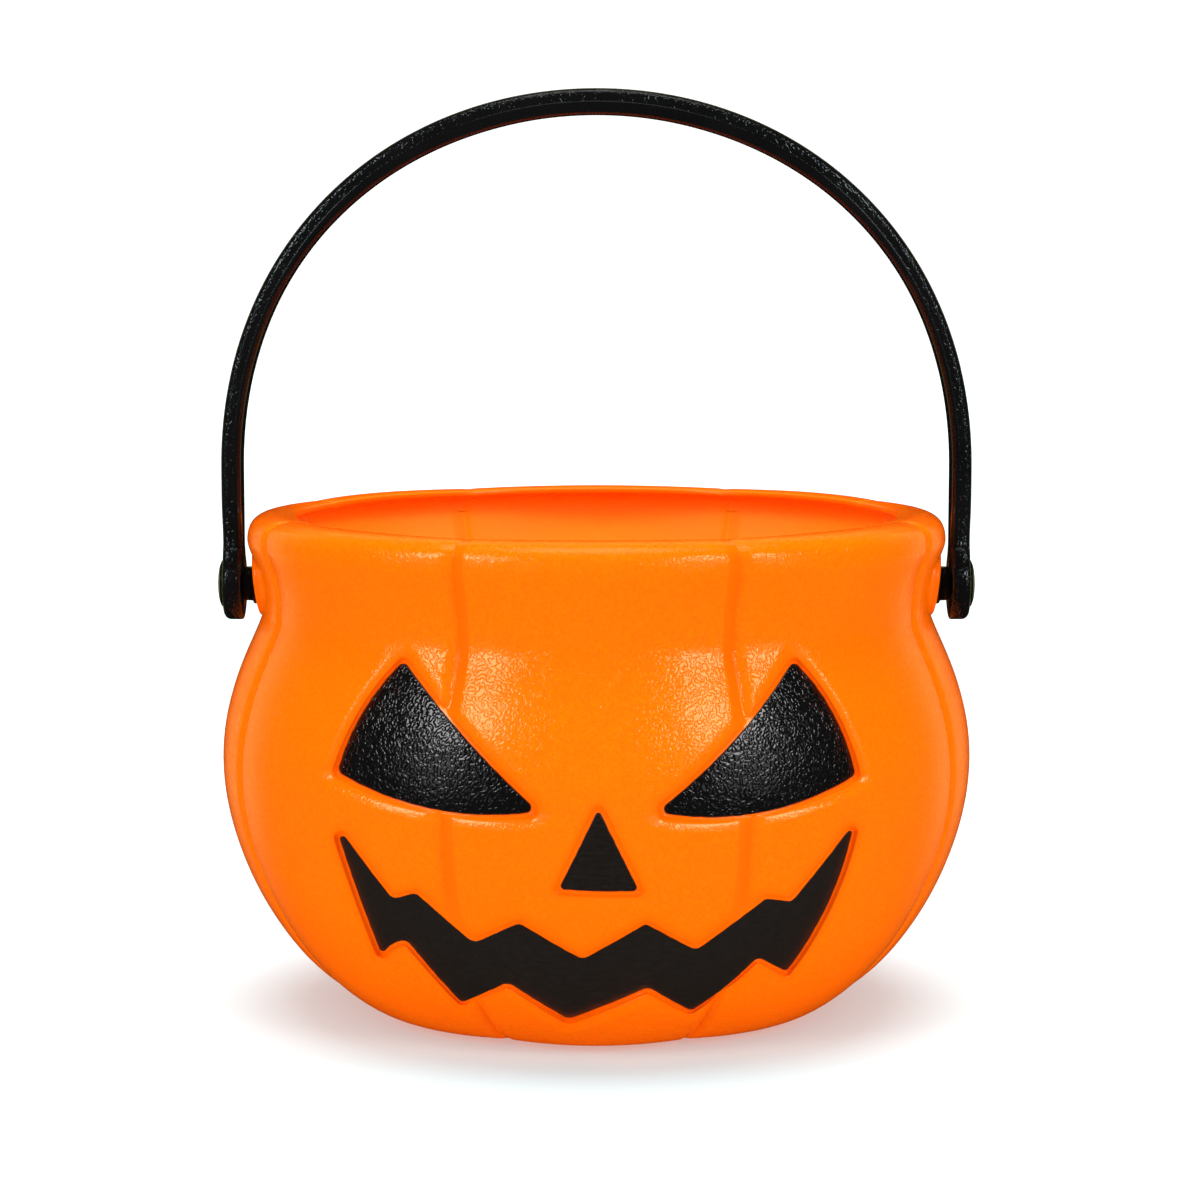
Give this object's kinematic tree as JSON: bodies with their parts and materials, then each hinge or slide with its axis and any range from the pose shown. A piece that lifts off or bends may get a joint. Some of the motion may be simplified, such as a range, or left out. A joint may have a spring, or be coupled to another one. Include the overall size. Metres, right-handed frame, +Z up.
{
  "type": "halloween bucket",
  "caption": "Round fluted pail with a pressed-in jack-o'-lantern face, a rolled lip and a black bail handle that swings on side rivets.",
  "frame": {"origin": "on the ground under the middle of the bucket, which is the middle of its flat base ring", "axes": "+Z up through the bucket's mouth, the face looks towards -Y, the handle turns about an axis along X"},
  "size_m": [0.2144, 0.2119, 0.258],
  "materials": {
    "orange_plastic": "satin gloss orange plastic with a fine leathery grain",
    "black_paint": "satin black paint in the face recesses",
    "black_plastic": "satin black moulded plastic, lightly textured on the grip panels"
  },
  "bodies": {
    "bucket_body": {"bucket": "orange_plastic", "left_eye_paint": "black_paint", "right_eye_paint": "black_paint", "nose_paint": "black_paint", "mouth_paint": "black_paint", "left_flanged_bush": "black_plastic", "right_flanged_bush": "black_plastic", "left_pivot_rivet": "black_plastic", "right_pivot_rivet": "black_plastic"},
    "handle_body": {"handle": "black_plastic"}
  },
  "joints": [
    {"name": "handle_swing", "type": "hinge", "parent": "bucket_body", "child": "handle_body", "pos_m": [0, 0, 0.119], "axis": [1, 0, 0], "range_deg": [-132, 132]}
  ]
}
